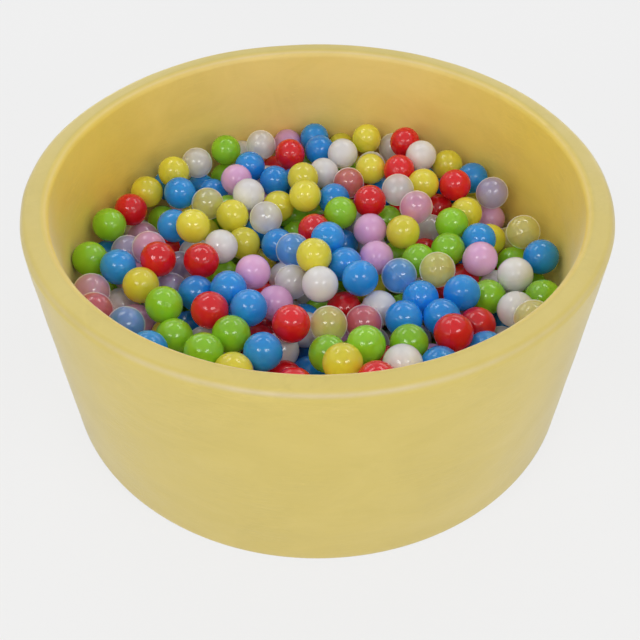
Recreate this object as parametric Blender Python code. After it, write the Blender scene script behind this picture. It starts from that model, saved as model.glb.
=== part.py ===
"""A round foam ball pit: a tall padded ring in a zipped plush cover, filled with play balls.

Metres, +Z up. The origin is the centre of the underside. The side shown from is -Y, and the zip
runs round the foot of the wall on the far side, +Y.
"""

from math import cos, pi, radians, sin

import bmesh
import bpy
import numpy as np
from mathutils import Matrix, Vector

# Driving sizes of the pit
OUTER_RADIUS = 0.540
PIT_HEIGHT = 0.463
FOAM_WALL = 0.045
BASE_FOAM = 0.030
COVER_THICKNESS = 0.002
RIM_ROUNDING = 0.016
SEAM_GAP = 0.0003
HEM_LIFT = 0.0006
WALL_SEGMENTS = 60
ROUNDING_STEPS = 3
SHARP_ANGLE = radians(40)
MERGE_DISTANCE = 0.00001
CUT_OVERRUN = 0.010

# Sizes that follow from them
INNER_RADIUS = OUTER_RADIUS - FOAM_WALL - 2 * (COVER_THICKNESS + SEAM_GAP)
FOAM_OUTER = OUTER_RADIUS - COVER_THICKNESS - SEAM_GAP
FOAM_INNER = INNER_RADIUS + COVER_THICKNESS + SEAM_GAP
FOAM_FOOT = COVER_THICKNESS + SEAM_GAP
INSIDE_RADIUS = INNER_RADIUS - SEAM_GAP
BASE_TOP = FOAM_FOOT + BASE_FOAM
FLOOR_TOP = BASE_TOP + SEAM_GAP + COVER_THICKNESS

# The zip, which lies in a low window of the cover, over a skived foot of the foam
ZIP_FIRST = radians(36)
ZIP_LAST = radians(144)
ZIP_STATION = 2 * pi / WALL_SEGMENTS
ZIP_WINDOW_OVERLAP = radians(1)
ZIP_WINDOW_TOP = 0.036
SKIVE_DEPTH = 0.0064
SKIVE_HEIGHT = 0.050
TAPE_THICKNESS = 0.001
TAPE_REST = 0.0005
TAPE_PART = 0.001
TAPE_TUCK = 0.008
TAPE_STEP = 0.005
COIL_RADIUS = 0.0012
COIL_PART = 0.0004
COIL_SIDES = 6
ZIP_LINE = 0.022
STOP_LENGTH = 0.004
STOP_HEIGHT = 0.0072
STOP_THICKNESS = 0.0022
SLIDER_LENGTH = 0.011
SLIDER_PLATE = 0.0013
SLIDER_RUNNING = 0.0009
LIP_WIDTH = 0.0013
LIP_RUNNING = 0.0005
EAR_WIDTH = 0.0024
EAR_THICKNESS = 0.0012
PIN_RADIUS = 0.0008
EYE_WALL = 0.0006
EYE_HEIGHT = 0.004
EYE_SIDES = 12
PULL_RUNNING = 0.0003
PULL_LENGTH = 0.026
PULL_THICKNESS = 0.001
PULL_ROOT_HEIGHT = 0.0036
PULL_TIP_HEIGHT = 0.0064

# The balls
BALL_RADIUS = 0.035
BALL_GAP = 0.0004
LIFT_GAP = 0.0006
BED_HEIGHT = 0.276
SLAB_DEPTH = 0.071
SLAB_TOP = BED_HEIGHT - SLAB_DEPTH
SLAB_ROOT = 0.008
SEAT_RADIUS = 0.012
SEAT_SIDES = 5
PACKED_SIDES = 7
TURN_STEP = radians(137.5)
DOME_STEPS = 2
BALL_SEGMENTS = 12
BALL_RINGS = 6
LAYER_DROP_SHARES = (0.0, 1.5, 2.6)
DEEP_DROP_SHARE = 1.3
DEEP_STEP = 0.005
DEEP_SEED = 7
DEEP_SIDES = 5

# The view in which the balls' centres were read: its eye in shares of the outer radius, its focal
# length and the picture's centre in pixels of a 640 by 640 frame
EYE_BACK_SHARE = 2.2195
EYE_UP_SHARE = 2.3588
VIEW_PITCH = radians(45.14)
FOCAL_PIXELS = 760.4
CENTRE_ACROSS_PIXEL = 317.1
CENTRE_DOWN_PIXEL = 320.0

# Settling the balls so that none overlap: shares of a step, and counts of steps
SIGHT_PULL_SHARE = 0.3
DEPTH_PULL_SHARE = 0.003
SIDEWAYS_SHARE = 0.3
SETTLE_STEPS = 500
SPREAD_STEPS = 400

# Balls that lie free on top, each read as the pixels of its centre
LOOSE_BALL_PIXELS = {
    "blue": (
        (118, 267), (328, 239), (248, 308), (263, 352), (462, 293), (360, 278), (478, 240),
        (541, 257),
    ),
    "red": (
        (158, 259), (202, 261), (211, 310), (291, 324), (290, 154), (453, 333),
    ),
    "green": (
        (226, 150), (110, 225), (164, 305), (204, 352), (340, 213), (452, 224),
    ),
    "yellow": (
        (174, 172), (193, 226), (305, 196), (314, 256), (367, 139), (403, 232),
    ),
    "white": (
        (249, 195), (342, 154), (420, 156), (515, 275), (519, 313),
    ),
    "pink": (
        (480, 259),
    ),
    "clear": (
        (261, 145), (208, 204), (266, 218), (416, 207), (437, 270), (400, 276), (492, 193),
        (523, 232),
    ),
}

# Balls held by their neighbours, by layer from the top of the bed down, read in the same way
TOP_BALL_PIXELS = {
    "blue": (
        (180, 193), (250, 167), (174, 226), (197, 292), (148, 350), (228, 289), (278, 245),
        (314, 138), (320, 150), (334, 199), (275, 181), (345, 264), (421, 298), (405, 319),
        (441, 317), (440, 365), (486, 350), (472, 178),
    ),
    "red": (
        (131, 210), (315, 230), (405, 143), (400, 170), (370, 201), (476, 325), (377, 381),
        (455, 185),
    ),
    "green": (
        (89, 259), (174, 337), (231, 334), (329, 353), (448, 250), (419, 261), (365, 345),
        (409, 343), (488, 297), (546, 299),
    ),
    "yellow": (
        (147, 192), (233, 216), (141, 285), (278, 206), (243, 243), (343, 363), (233, 372),
        (371, 169), (303, 178), (447, 165), (422, 184), (466, 213),
    ),
    "white": (
        (221, 247), (320, 284), (324, 173), (379, 309), (403, 364),
    ),
    "pink": (
        (237, 180), (253, 272), (275, 303), (370, 230), (376, 258),
    ),
    "clear": (
        (197, 163), (149, 248), (92, 291), (93, 311), (126, 325), (293, 250), (292, 282),
        (329, 325), (348, 183), (398, 190), (363, 323), (534, 316),
    ),
}
SECOND_BALL_PIXELS = {
    "blue": (
        (201, 188), (213, 194), (189, 328), (258, 234), (310, 361), (310, 374), (381, 193),
        (342, 245), (422, 180),
    ),
    "red": (
        (164, 248), (263, 300), (260, 343), (284, 379), (294, 387), (276, 170), (437, 209),
        (462, 280), (344, 309), (390, 364),
    ),
    "green": (
        (225, 178), (163, 221), (293, 216), (223, 275), (396, 257), (513, 263), (530, 287),
    ),
    "yellow": (
        (204, 233), (169, 336), (369, 287), (489, 240),
    ),
    "white": (
        (267, 180), (121, 305), (285, 278), (306, 330), (280, 351), (417, 291), (496, 287),
    ),
    "pink": (
        (288, 143), (489, 219),
    ),
    "clear": (
        (143, 237), (128, 251), (180, 268), (171, 290), (205, 344), (195, 254), (255, 374),
        (394, 146), (371, 166), (430, 230), (372, 343), (507, 243), (501, 344),
    ),
}
THIRD_BALL_PIXELS = {
    "blue": (
        (108, 256), (232, 313), (304, 321), (372, 222), (505, 328),
    ),
    "red": (
        (268, 329), (424, 254), (399, 216), (441, 300),
    ),
    "green": (
        (297, 236), (318, 220), (319, 314), (306, 166),
    ),
    "yellow": (
        (260, 264), (358, 170), (471, 205),
    ),
    "clear": (
        (160, 322),
    ),
}

# Colour, roughness and metallic value of each finish
FINISHES = {
    "plush": ((0.66, 0.52, 0.16), 0.9, 0.0),
    "foam": ((0.86, 0.85, 0.78), 0.95, 0.0),
    "lining": ((0.50, 0.40, 0.14), 0.9, 0.0),
    "underside": ((0.16, 0.15, 0.13), 0.9, 0.0),
    "zip_tape": ((0.60, 0.47, 0.14), 0.85, 0.0),
    "zip_coil": ((0.62, 0.50, 0.18), 0.45, 0.0),
    "zip_metal": ((0.62, 0.60, 0.56), 0.35, 1.0),
    "blue": ((0.03, 0.25, 0.68), 0.22, 0.0),
    "red": ((0.66, 0.02, 0.02), 0.22, 0.0),
    "green": ((0.20, 0.48, 0.04), 0.22, 0.0),
    "yellow": ((0.68, 0.60, 0.03), 0.22, 0.0),
    "white": ((0.78, 0.76, 0.74), 0.25, 0.0),
    "pink": ((0.70, 0.32, 0.52), 0.22, 0.0),
    "clear": ((0.62, 0.60, 0.58), 0.12, 0.0),
    "mixed": ((0.34, 0.36, 0.40), 0.30, 0.0),
}


def clear_scene():
    for old in list(bpy.data.objects):
        bpy.data.objects.remove(old, do_unlink=True)


def finish_named(name):
    if name in bpy.data.materials:
        return bpy.data.materials[name]
    colour, roughness, metallic = FINISHES[name]
    material = bpy.data.materials.new(name)
    material.use_nodes = True
    shader = material.node_tree.nodes["Principled BSDF"]
    shader.inputs["Base Color"].default_value = (*colour, 1)
    shader.inputs["Roughness"].default_value = roughness
    shader.inputs["Metallic"].default_value = metallic
    return material


def object_from(bm, name, finish):
    """A named object that holds the mesh, with its faces turned outwards."""
    bmesh.ops.recalc_face_normals(bm, faces=bm.faces)
    mesh = bpy.data.meshes.new(name)
    bm.to_mesh(mesh)
    bm.free()
    mesh.shade_smooth()
    mesh.set_sharp_from_angle(angle=SHARP_ANGLE)
    mesh.materials.append(finish_named(finish))
    made = bpy.data.objects.new(name, mesh)
    bpy.context.collection.objects.link(made)
    return made


def spun(bm, outline, first, sweep, steps, closed_outline=True):
    """The outline of (radius, height) points, turned about the vertical axis."""
    corners = [bm.verts.new((r * cos(first), r * sin(first), z)) for r, z in outline]
    pairs = list(zip(corners, corners[1:]))
    if closed_outline:
        pairs.append((corners[-1], corners[0]))
    edges = [bm.edges.new(pair) for pair in pairs]
    whole_turn = sweep >= 2 * pi
    caps = []
    if not whole_turn:
        caps.append(bm.faces.new(corners))
    bmesh.ops.spin(
        bm, geom=corners + edges + caps, cent=(0, 0, 0), axis=(0, 0, 1), dvec=(0, 0, 0),
        angle=sweep, steps=steps, space=Matrix.Identity(4), use_merge=whole_turn,
        use_normal_flip=False, use_duplicate=False,
    )
    bmesh.ops.remove_doubles(bm, verts=bm.verts, dist=MERGE_DISTANCE)


def ring(name, outline, finish):
    bm = bmesh.new()
    spun(bm, outline, 0, 2 * pi, WALL_SEGMENTS)
    return object_from(bm, name, finish)


def disc(name, radius, low, high, finish):
    outline = [(0, low), (radius, low), (radius, high), (0, high)]
    bm = bmesh.new()
    spun(bm, outline, 0, 2 * pi, WALL_SEGMENTS, closed_outline=False)
    return object_from(bm, name, finish)


def arc(centre_radius, centre_height, rounding, first, last, steps):
    """Points of a round corner, from one angle of its own circle to another."""
    return [
        (
            centre_radius + rounding * cos(first + (last - first) * k / steps),
            centre_height + rounding * sin(first + (last - first) * k / steps),
        )
        for k in range(steps + 1)
    ]


def shoulder(outer, inner, top, rounding):
    """The top of a ring's outline, from its outer side over to its inner side."""
    outer_turn = arc(outer - rounding, top - rounding, rounding, 0, pi / 2, ROUNDING_STEPS)
    inner_turn = arc(inner + rounding, top - rounding, rounding, pi / 2, pi, ROUNDING_STEPS)
    return outer_turn + inner_turn


def boolean(target, operation, tool, self_crossing=False):
    """Joins the tool to the target, or cuts it away, and removes the tool."""
    step = target.modifiers.new(operation.lower(), "BOOLEAN")
    step.operation = operation
    step.solver = "EXACT"
    step.use_self = self_crossing
    step.object = tool
    graph = bpy.context.evaluated_depsgraph_get()
    result = bpy.data.meshes.new_from_object(target.evaluated_get(graph))
    target.modifiers.remove(step)
    old_mesh = target.data
    result.name = target.name
    target.data = result
    bpy.data.meshes.remove(old_mesh)
    bpy.data.objects.remove(tool, do_unlink=True)


def ring_foam():
    skived = FOAM_OUTER - SKIVE_DEPTH
    outline = [
        (skived, FOAM_FOOT),
        (skived, SKIVE_HEIGHT),
        (FOAM_OUTER, SKIVE_HEIGHT + SKIVE_DEPTH),
        *shoulder(
            FOAM_OUTER, FOAM_INNER, PIT_HEIGHT - COVER_THICKNESS - SEAM_GAP,
            RIM_ROUNDING - COVER_THICKNESS - SEAM_GAP,
        ),
        (FOAM_INNER, FOAM_FOOT),
    ]
    return ring("ring_foam", outline, "foam")


def wall_cover():
    """One plush skin: up the outside, over the rim and down the inside to the floor."""
    outer_skin = [
        (OUTER_RADIUS, HEM_LIFT),
        *shoulder(OUTER_RADIUS, INNER_RADIUS, PIT_HEIGHT, RIM_ROUNDING),
        (INNER_RADIUS, FOAM_FOOT),
    ]
    inner_skin = [
        (OUTER_RADIUS - COVER_THICKNESS, HEM_LIFT),
        *shoulder(
            OUTER_RADIUS - COVER_THICKNESS, INNER_RADIUS + COVER_THICKNESS,
            PIT_HEIGHT - COVER_THICKNESS, RIM_ROUNDING - COVER_THICKNESS,
        ),
        (INNER_RADIUS + COVER_THICKNESS, FOAM_FOOT),
    ]
    made = ring("wall_cover", outer_skin + inner_skin[::-1], "plush")
    window = bmesh.new()
    inner_edge = FOAM_OUTER - CUT_OVERRUN
    outer_edge = OUTER_RADIUS + CUT_OVERRUN
    outline = [
        (inner_edge, -CUT_OVERRUN), (outer_edge, -CUT_OVERRUN),
        (outer_edge, ZIP_WINDOW_TOP), (inner_edge, ZIP_WINDOW_TOP),
    ]
    first = ZIP_FIRST - ZIP_WINDOW_OVERLAP
    sweep = ZIP_LAST - ZIP_FIRST + 2 * ZIP_WINDOW_OVERLAP
    spun(window, outline, first, sweep, round(sweep / ZIP_STATION))
    boolean(made, "DIFFERENCE", object_from(window, "window_cutter", "plush"))
    return made


def inner_pieces():
    disc("bottom_cover", FOAM_OUTER, 0, COVER_THICKNESS, "underside")
    disc("base_foam", INSIDE_RADIUS, FOAM_FOOT, BASE_TOP, "foam")
    disc("floor_cover", INSIDE_RADIUS, BASE_TOP + SEAM_GAP, FLOOR_TOP, "lining")


TAPE_INNER = FOAM_OUTER - SKIVE_DEPTH + TAPE_REST
TAPE_FACE = TAPE_INNER + TAPE_THICKNESS
COIL_CENTRE = TAPE_FACE + SEAM_GAP + COIL_RADIUS
COIL_OFFSET = COIL_RADIUS + COIL_PART / 2
# Straight pieces sit on the flat between two stations, which lies this share of its radius out
FLAT_SHARE = cos(ZIP_STATION / 2)
SLIDER_ANGLE = ZIP_FIRST + ZIP_STATION / 2


def zip_strip(name, outline, finish, extra_stations=0):
    """A strip that follows the wall's flats from the zip's first station to its last."""
    bm = bmesh.new()
    first = ZIP_FIRST - extra_stations * ZIP_STATION
    sweep = ZIP_LAST - ZIP_FIRST + 2 * extra_stations * ZIP_STATION
    spun(bm, outline, first, sweep, round(sweep / ZIP_STATION))
    return object_from(bm, name, finish)


def zip_tapes():
    tuck_face = OUTER_RADIUS - COVER_THICKNESS - SEAM_GAP
    tuck_inner = tuck_face - TAPE_THICKNESS
    tuck_foot = ZIP_WINDOW_TOP + TAPE_THICKNESS
    bend = tuck_foot - TAPE_STEP
    middle = TAPE_PART / 2
    upper = [
        (TAPE_INNER, ZIP_LINE + middle), (TAPE_FACE, ZIP_LINE + middle),
        (TAPE_FACE, bend), (tuck_face, tuck_foot),
        (tuck_face, tuck_foot + TAPE_TUCK), (tuck_inner, tuck_foot + TAPE_TUCK),
        (tuck_inner, tuck_foot), (TAPE_INNER, bend),
    ]
    lower = [
        (TAPE_INNER, FOAM_FOOT), (TAPE_FACE, FOAM_FOOT),
        (TAPE_FACE, ZIP_LINE - middle), (TAPE_INNER, ZIP_LINE - middle),
    ]
    zip_strip("zip_tape_upper", upper, "zip_tape", extra_stations=1)
    zip_strip("zip_tape_lower", lower, "zip_tape", extra_stations=1)


def zip_coils():
    for name, height in (
        ("zip_coil_upper", ZIP_LINE + COIL_OFFSET), ("zip_coil_lower", ZIP_LINE - COIL_OFFSET)
    ):
        outline = arc(COIL_CENTRE, height, COIL_RADIUS, 0, 2 * pi, COIL_SIDES)[:-1]
        zip_strip(name, outline, "zip_coil")


def box(bm, low, high):
    """A block between two corners, in the frame of the piece."""
    low = Vector(low)
    high = Vector(high)
    made = bmesh.ops.create_cube(bm, size=1)["verts"]
    bmesh.ops.scale(bm, vec=high - low, verts=made)
    bmesh.ops.translate(bm, vec=(low + high) / 2, verts=made)


def post(bm, radius, low, high, centre, sides):
    """An upright round bar."""
    made = bmesh.ops.create_cone(
        bm, cap_ends=True, segments=sides, radius1=radius, radius2=radius, depth=high - low
    )["verts"]
    bmesh.ops.translate(bm, vec=(centre, 0, (low + high) / 2), verts=made)


def block_object(name, finish, fill):
    bm = bmesh.new()
    fill(bm)
    return object_from(bm, name, finish)


def turned_to(made, angle):
    """Carries a piece drawn along +X round to its place on the wall."""
    made.data.transform(Matrix.Rotation(angle, 4, "Z"))


def zip_stops():
    face = TAPE_FACE + SEAM_GAP
    reach = STOP_LENGTH / 2
    step_back = (reach + 2 * SEAM_GAP) / face
    for name, angle in (
        ("zip_stop_first", ZIP_FIRST - step_back), ("zip_stop_last", ZIP_LAST + step_back)
    ):
        low = (face, -reach, ZIP_LINE - STOP_HEIGHT / 2)
        high = (face + STOP_THICKNESS, reach, ZIP_LINE + STOP_HEIGHT / 2)
        made = block_object(name, "zip_metal", lambda bm: box(bm, low, high))
        turned_to(made, angle)


COIL_FACE = (COIL_CENTRE + COIL_RADIUS) * FLAT_SHARE
PLATE_INNER = COIL_FACE + SLIDER_RUNNING
PLATE_OUTER = PLATE_INNER + SLIDER_PLATE
LIP_START = COIL_OFFSET + COIL_RADIUS + LIP_RUNNING
EYE_OUTER = PIN_RADIUS + PULL_RUNNING + EYE_WALL
PIN_CENTRE = PLATE_OUTER + PULL_RUNNING + EYE_OUTER


def zip_slider():
    """A plate over the coils with a lip past each one, and two ears that hold the pull's pin."""
    half = SLIDER_LENGTH / 2
    lip_foot = TAPE_FACE * FLAT_SHARE + SLIDER_RUNNING
    side = LIP_START + LIP_WIDTH
    made = block_object(
        "zip_slider", "zip_metal",
        lambda bm: box(bm, (PLATE_INNER, -half, ZIP_LINE - side), (PLATE_OUTER, half, ZIP_LINE + side)),
    )
    overlap = SLIDER_PLATE / 2
    ear_start = EYE_HEIGHT / 2 + PULL_RUNNING
    for sign in (-1, 1):
        lip_low, lip_high = sorted((sign * LIP_START, sign * side))
        lip = block_object(
            "lip", "zip_metal",
            lambda bm: box(
                bm, (lip_foot, -half, ZIP_LINE + lip_low),
                (PLATE_INNER + overlap, half, ZIP_LINE + lip_high),
            ),
        )
        boolean(made, "UNION", lip)
        ear_low, ear_high = sorted((sign * ear_start, sign * (ear_start + EAR_THICKNESS)))
        ear = block_object(
            "ear", "zip_metal",
            lambda bm: box(
                bm, (PLATE_OUTER - overlap, -EAR_WIDTH / 2, ZIP_LINE + ear_low),
                (PIN_CENTRE + EAR_WIDTH / 2, EAR_WIDTH / 2, ZIP_LINE + ear_high),
            ),
        )
        boolean(made, "UNION", ear)
    reach = ear_start + EAR_THICKNESS / 2
    pin = block_object(
        "pin", "zip_metal",
        lambda bm: post(bm, PIN_RADIUS, ZIP_LINE - reach, ZIP_LINE + reach, PIN_CENTRE, EYE_SIDES),
    )
    boolean(made, "UNION", pin)
    turned_to(made, SLIDER_ANGLE)


def pull_tab(bm):
    """A flat tongue that widens from the eye to a tip with cut corners."""
    start = EYE_OUTER - EYE_WALL / 2
    corner = (PULL_TIP_HEIGHT - PULL_ROOT_HEIGHT) / 2
    outline = [
        (start, -PULL_ROOT_HEIGHT / 2), (PULL_LENGTH / 2, -PULL_TIP_HEIGHT / 2),
        (PULL_LENGTH - corner, -PULL_TIP_HEIGHT / 2), (PULL_LENGTH, -PULL_ROOT_HEIGHT / 2),
        (PULL_LENGTH, PULL_ROOT_HEIGHT / 2), (PULL_LENGTH - corner, PULL_TIP_HEIGHT / 2),
        (PULL_LENGTH / 2, PULL_TIP_HEIGHT / 2), (start, PULL_ROOT_HEIGHT / 2),
    ]
    back = PIN_CENTRE - PULL_THICKNESS / 2
    face = bm.faces.new([bm.verts.new((back, y, ZIP_LINE + z)) for y, z in outline])
    grown = bmesh.ops.extrude_face_region(bm, geom=[face])["geom"]
    moved = [v for v in grown if isinstance(v, bmesh.types.BMVert)]
    bmesh.ops.translate(bm, vec=(PULL_THICKNESS, 0, 0), verts=moved)


def zip_pull():
    """The tongue and its eye. The origin is on the pin, about which it swings."""
    half = EYE_HEIGHT / 2
    made = block_object(
        "zip_pull", "zip_metal",
        lambda bm: post(bm, EYE_OUTER, ZIP_LINE - half, ZIP_LINE + half, PIN_CENTRE, EYE_SIDES),
    )
    boolean(made, "UNION", block_object("tongue", "zip_metal", pull_tab))
    bore = block_object(
        "bore", "zip_metal",
        lambda bm: post(
            bm, PIN_RADIUS + PULL_RUNNING, ZIP_LINE - half - CUT_OVERRUN,
            ZIP_LINE + half + CUT_OVERRUN, PIN_CENTRE, EYE_SIDES,
        ),
    )
    boolean(made, "DIFFERENCE", bore)
    hinge = Vector((PIN_CENTRE, 0, ZIP_LINE))
    made.data.transform(Matrix.Translation(-hinge))
    turned_to(made, SLIDER_ANGLE)
    made.location = Matrix.Rotation(SLIDER_ANGLE, 3, "Z") @ hinge


def sight_lines(pixels):
    """The eye of the view, and for each pixel the direction of its line of sight."""
    eye = OUTER_RADIUS * np.array([0.0, -EYE_BACK_SHARE, EYE_UP_SHARE])
    forward = np.array([0.0, cos(VIEW_PITCH), -sin(VIEW_PITCH)])
    right = np.array([1.0, 0.0, 0.0])
    up = np.cross(right, forward)
    across = (pixels[:, :1] - CENTRE_ACROSS_PIXEL) / FOCAL_PIXELS
    down = (pixels[:, 1:] - CENTRE_DOWN_PIXEL) / FOCAL_PIXELS
    return eye, forward + right * across - up * down


def along(vectors, directions):
    """The part of each vector that lies along its direction."""
    return (vectors * directions).sum(axis=1)[:, None] * directions


def settle(pixels, layers, loose):
    """Centres of the balls: each starts on its line of sight, at the height of its layer, and gives
    way along that line until none overlap. Nothing stays over a loose ball, which can be lifted out.
    """
    eye, lines = sight_lines(pixels)
    heights = BED_HEIGHT - BALL_RADIUS * np.array(LAYER_DROP_SHARES)[layers]
    centres = eye + lines * ((heights - eye[2]) / lines[:, 2])[:, None]
    home = centres.copy()
    lines /= np.linalg.norm(lines, axis=1)[:, None]
    one, other = np.triu_indices(len(centres), 1)
    apart = 2 * BALL_RADIUS + BALL_GAP
    clear_above = 2 * BALL_RADIUS + LIFT_GAP
    reach = INNER_RADIUS - BALL_RADIUS - BALL_GAP
    for step in range(SETTLE_STEPS + SPREAD_STEPS):
        between = centres[one] - centres[other]
        distance = np.linalg.norm(between, axis=1)
        close = distance < apart
        push = between[close] * ((apart - distance[close]) / distance[close] / 2)[:, None]
        move = np.zeros_like(centres)
        np.add.at(move, one[close], push)
        np.add.at(move, other[close], -push)
        if step < SETTLE_STEPS:
            forth = along(move, lines)
            centres = centres + forth + SIDEWAYS_SHARE * (move - forth)
            back = home - centres
            deep = along(back, lines)
            centres = centres + SIGHT_PULL_SHARE * (back - deep) + DEPTH_PULL_SHARE * deep
        else:
            centres = centres + move
            level = np.hypot(between[:, 0], between[:, 1])
            covers = (loose[one] & (between[:, 2] < 0)) | (loose[other] & (between[:, 2] > 0))
            covers &= level < clear_above
            push = between[covers, :2] * ((clear_above - level[covers]) / level[covers] / 2)[:, None]
            np.add.at(centres[:, :2], one[covers], push)
            np.add.at(centres[:, :2], other[covers], -push)
        radius = np.hypot(centres[:, 0], centres[:, 1])
        centres[:, :2] *= np.minimum(1, reach / radius)[:, None]
    return centres


def loose_ball(name, colour, centre):
    bm = bmesh.new()
    bmesh.ops.create_uvsphere(
        bm, u_segments=BALL_SEGMENTS, v_segments=BALL_RINGS, radius=BALL_RADIUS
    )
    object_from(bm, name, colour).location = centre


def deep_places(centres):
    """Centres of the balls under those in sight that reach out of the slab: places on a fine grid
    that touch no ball so far, the highest first.
    """
    reach = INNER_RADIUS - BALL_RADIUS - BALL_GAP
    side = np.arange(-reach, reach, DEEP_STEP)
    highest = BED_HEIGHT - BALL_RADIUS * DEEP_DROP_SHARE
    levels = np.arange(highest, SLAB_TOP + SLAB_ROOT - BALL_RADIUS, -DEEP_STEP)
    x, y, z = (axis.ravel() for axis in np.meshgrid(side, side, levels))
    free = np.column_stack([x, y, z])[np.hypot(x, y) <= reach]
    free = free[np.random.default_rng(DEEP_SEED).permutation(len(free))]
    free = free[np.argsort(-free[:, 2], kind="stable")]
    places = []
    for centre in centres:
        free = free[np.linalg.norm(free - centre, axis=1) >= 2 * BALL_RADIUS]
    while len(free):
        places.append(free[0])
        free = free[np.linalg.norm(free - free[0], axis=1) >= 2 * BALL_RADIUS]
    return places


def upright(bm, outline, centre, sides, first=0):
    """Adds a turned shape, given from its foot up, on its own upright axis."""
    made = bmesh.new()
    spun(made, outline, first, 2 * pi, sides, closed_outline=False)
    bmesh.ops.recalc_face_normals(made, faces=made.faces)
    bmesh.ops.translate(made, vec=(centre[0], centre[1], 0), verts=made.verts)
    mesh = bpy.data.meshes.new("upright")
    made.to_mesh(mesh)
    made.free()
    bm.from_mesh(mesh)
    bpy.data.meshes.remove(mesh)


def packed_balls(centres, loose):
    """The packed bed in one piece: a slab for the deeper layers, a ball drawn in to a point in the
    slab for each ball that reaches out of it, and a peak that carries each loose ball.
    """
    low = FLOOR_TOP + SEAM_GAP
    root = SLAB_TOP - SLAB_ROOT
    made = disc("packed_balls", INSIDE_RADIUS, low, SLAB_TOP, "mixed")
    bm = bmesh.new()
    for centre in centres[loose]:
        peak = centre[2] - BALL_RADIUS - BALL_GAP
        upright(bm, [(0, root), (SEAT_RADIUS, root), (0, peak)], centre, SEAT_SIDES)
    in_sight = [(centre, PACKED_SIDES) for centre in centres[~loose]]
    deeper = [(centre, DEEP_SIDES) for centre in deep_places(centres)]
    for number, (centre, sides) in enumerate(in_sight + deeper):
        height = centre[2]
        if height + BALL_RADIUS > SLAB_TOP + SLAB_ROOT:
            dome = arc(0, height, BALL_RADIUS, 0, pi / 2, DOME_STEPS)[:-1]
            outline = [(0, min(root, height - SLAB_ROOT)), *dome, (0, height + BALL_RADIUS)]
            upright(bm, outline, centre, sides, number * TURN_STEP)
    boolean(made, "UNION", object_from(bm, "domes", "mixed"), self_crossing=True)


def balls():
    names = []
    pixels = []
    for colour, places in LOOSE_BALL_PIXELS.items():
        names += [(f"{colour}_ball_{number}", colour) for number in range(1, len(places) + 1)]
        pixels += places
    layers = [0] * len(pixels)
    for layer, table in enumerate((TOP_BALL_PIXELS, SECOND_BALL_PIXELS, THIRD_BALL_PIXELS)):
        for places in table.values():
            pixels += places
            layers += [layer] * len(places)
    loose = np.arange(len(pixels)) < len(names)
    centres = settle(np.array(pixels, float), np.array(layers), loose)
    for (name, colour), centre in zip(names, centres):
        loose_ball(name, colour, centre)
    packed_balls(centres, loose)


clear_scene()
ring_foam()
wall_cover()
inner_pieces()
zip_tapes()
zip_coils()
zip_stops()
zip_slider()
zip_pull()
balls()
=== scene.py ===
"""Looks of a round ball pit: a velvet-covered foam ring, filled with glossy play balls."""

from math import atan2, cos, hypot, pi, radians, sin

import bpy
import numpy as np
from mathutils import Euler, Matrix, Vector, noise


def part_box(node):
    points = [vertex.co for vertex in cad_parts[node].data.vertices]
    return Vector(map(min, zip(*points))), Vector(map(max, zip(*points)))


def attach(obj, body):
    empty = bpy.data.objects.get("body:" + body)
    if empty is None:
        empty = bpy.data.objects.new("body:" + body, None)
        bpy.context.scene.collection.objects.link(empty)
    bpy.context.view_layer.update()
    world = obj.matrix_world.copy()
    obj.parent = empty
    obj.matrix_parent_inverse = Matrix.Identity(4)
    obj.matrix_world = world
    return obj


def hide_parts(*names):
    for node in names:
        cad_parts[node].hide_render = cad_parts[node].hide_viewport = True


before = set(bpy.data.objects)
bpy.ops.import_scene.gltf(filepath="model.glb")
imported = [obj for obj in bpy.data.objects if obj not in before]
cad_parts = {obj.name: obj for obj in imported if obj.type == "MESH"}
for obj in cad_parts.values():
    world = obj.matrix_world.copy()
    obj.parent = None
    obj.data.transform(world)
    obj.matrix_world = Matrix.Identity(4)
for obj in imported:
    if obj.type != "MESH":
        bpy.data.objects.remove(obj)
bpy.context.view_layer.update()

# The pit, as it is in the model: metres, and for the window and the zip degrees from X
OUTER_RADIUS = 0.540
INNER_RADIUS = 0.4904
PIT_HEIGHT = 0.463
RIM_ROUNDING = 0.016
FOOT_ROUNDING = 0.005
COVER_FOOT = 0.0023
FLOOR_TOP = 0.0346
CLOTH_ROOM = 0.0025
WINDOW_TOP = 0.036
WINDOW_BACK = 0.5312
WINDOW_FIRST = 35.0
WINDOW_LAST = 145.0
ZIP_FIRST = 36.0
ZIP_LAST = 144.0
ZIP_LINE = 0.022
TEETH_FACE = 0.5331

# How the velvet wall is divided; where it is firm, at the foot, by the balls and at the rim, and
# over what height it then softens; how far it swells and how deep its soft waves are
WALL_SIDES = 240
WALL_LEVELS = 35
RIM_STEPS = 11
FOOT_STEPS = 4
FIRM_FOOT = 0.06
FOOT_BLEND = 0.12
FIRM_AT_BALLS = 0.060
BALLS_BLEND = 0.06
FIRM_RIM = 0.02
RIM_BLEND = 0.10
DRIFT_DEPTH = 0.0012
RIPPLE_DEPTH = 0.0006
PINCH_DEPTH = 0.0009
RIM_WAVE = 0.0016
RIM_SINK = 0.0010
CLOTH_MOMENTS = 20
CLOTH_PRESSURE = 4.0
CLOTH_MASS = 0.3
WINDOW_STEPS = 110
CUTTER_REACH = 0.02

# The floor pad and the cloth underneath
PAD_SIDES = 120
PAD_GAP = 0.0006
PAD_ROUNDING = 0.007
PAD_RINGS = (0.09, 0.11, 0.12)
PAD_TOP_MARGIN = 0.0005
CROWN_WAVE = 0.0012
CROWN_SINK = 0.0008
UNDERSIDE_SIDES = 180
UNDERSIDE_RADIUS = 0.5346
UNDERSIDE_THICKNESS = 0.0021
UNDERSIDE_ROUNDING = 0.0007
HEM_WIDTH = 0.012
HEM_LINE = 0.0010
HEM_DEPTH = 0.0004
UNDERSIDE_MIDDLE = 0.2

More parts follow.
